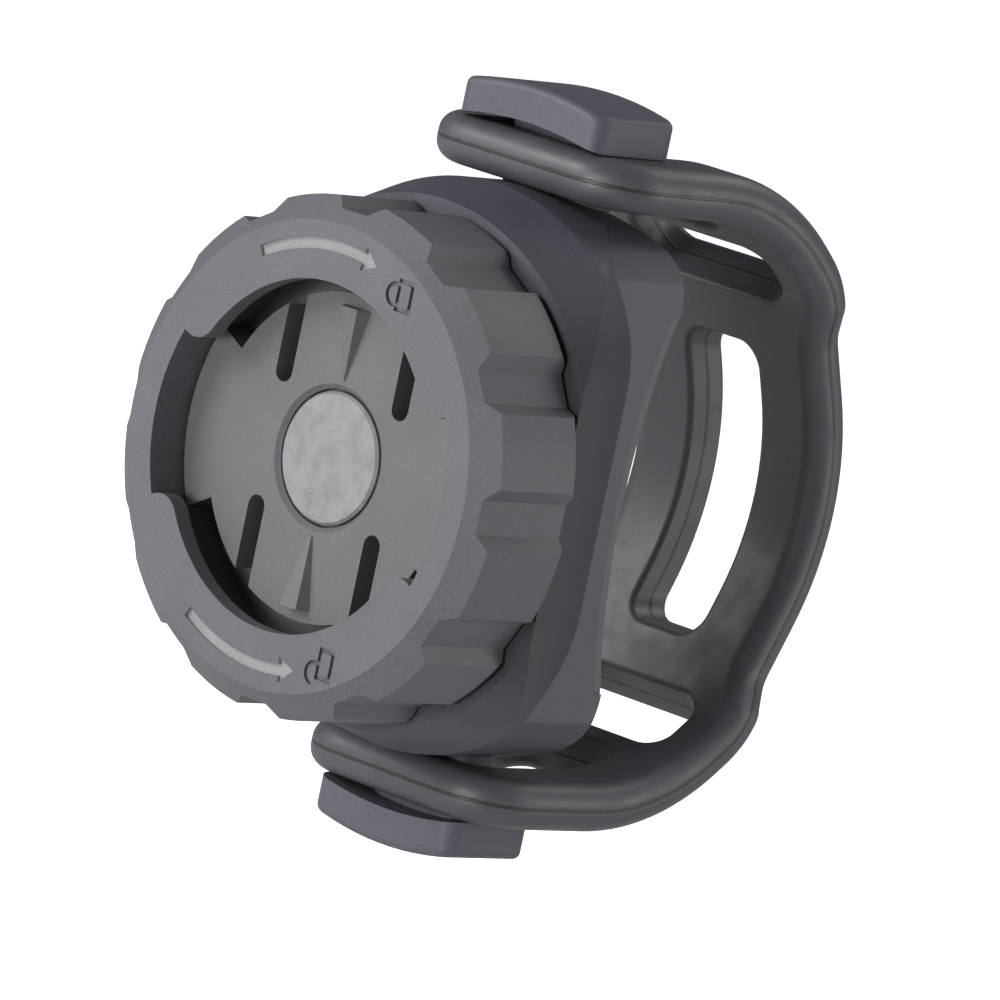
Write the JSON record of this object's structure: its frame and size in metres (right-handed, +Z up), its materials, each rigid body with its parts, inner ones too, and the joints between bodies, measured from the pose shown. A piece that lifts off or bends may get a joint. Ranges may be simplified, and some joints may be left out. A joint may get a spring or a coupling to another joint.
{
  "type": "bike computer mount",
  "caption": "Strap-on handlebar mount for a bike computer: a knurled ring twists over a fixed plate to lock the computer in, and a hooked rubber strap holds the housing on the bar.",
  "frame": {"origin": "centre of the twist ring's flat front face, on the axis that the ring turns about", "axes": "-Y out of the ring's face, where the computer goes on; +Y to the handlebar behind; X along the handlebar; +Z up as the picture stands it, along the housing from one strap hook to the other"},
  "size_m": [0.0386, 0.0498, 0.0582],
  "materials": {
    "ring_nylon": "fine spark-eroded grain",
    "housing_nylon": "fine matte grain",
    "plate_nylon": "fine matte grain",
    "cap_metal": "dull, lightly scuffed",
    "strap_rubber": "satin",
    "liner_rubber": "matte",
    "screw_steel": "bright",
    "insert_brass": "plain"
  },
  "bodies": {
    "mount_base": {"housing": "housing_nylon", "saddle_liner": "liner_rubber", "strap": "strap_rubber", "receiver_plate": "plate_nylon", "centre_cap": "cap_metal", "centre_screw": "screw_steel", "threaded_insert": "insert_brass", "friction_ring": "liner_rubber"},
    "lock_ring": {"twist_ring": "ring_nylon"}
  },
  "joints": [
    {"name": "ring_turn", "type": "hinge", "parent": "mount_base", "child": "lock_ring", "pos_m": [0, 0, 0], "axis": [0, 1, 0], "range_deg": [0, 90]}
  ]
}
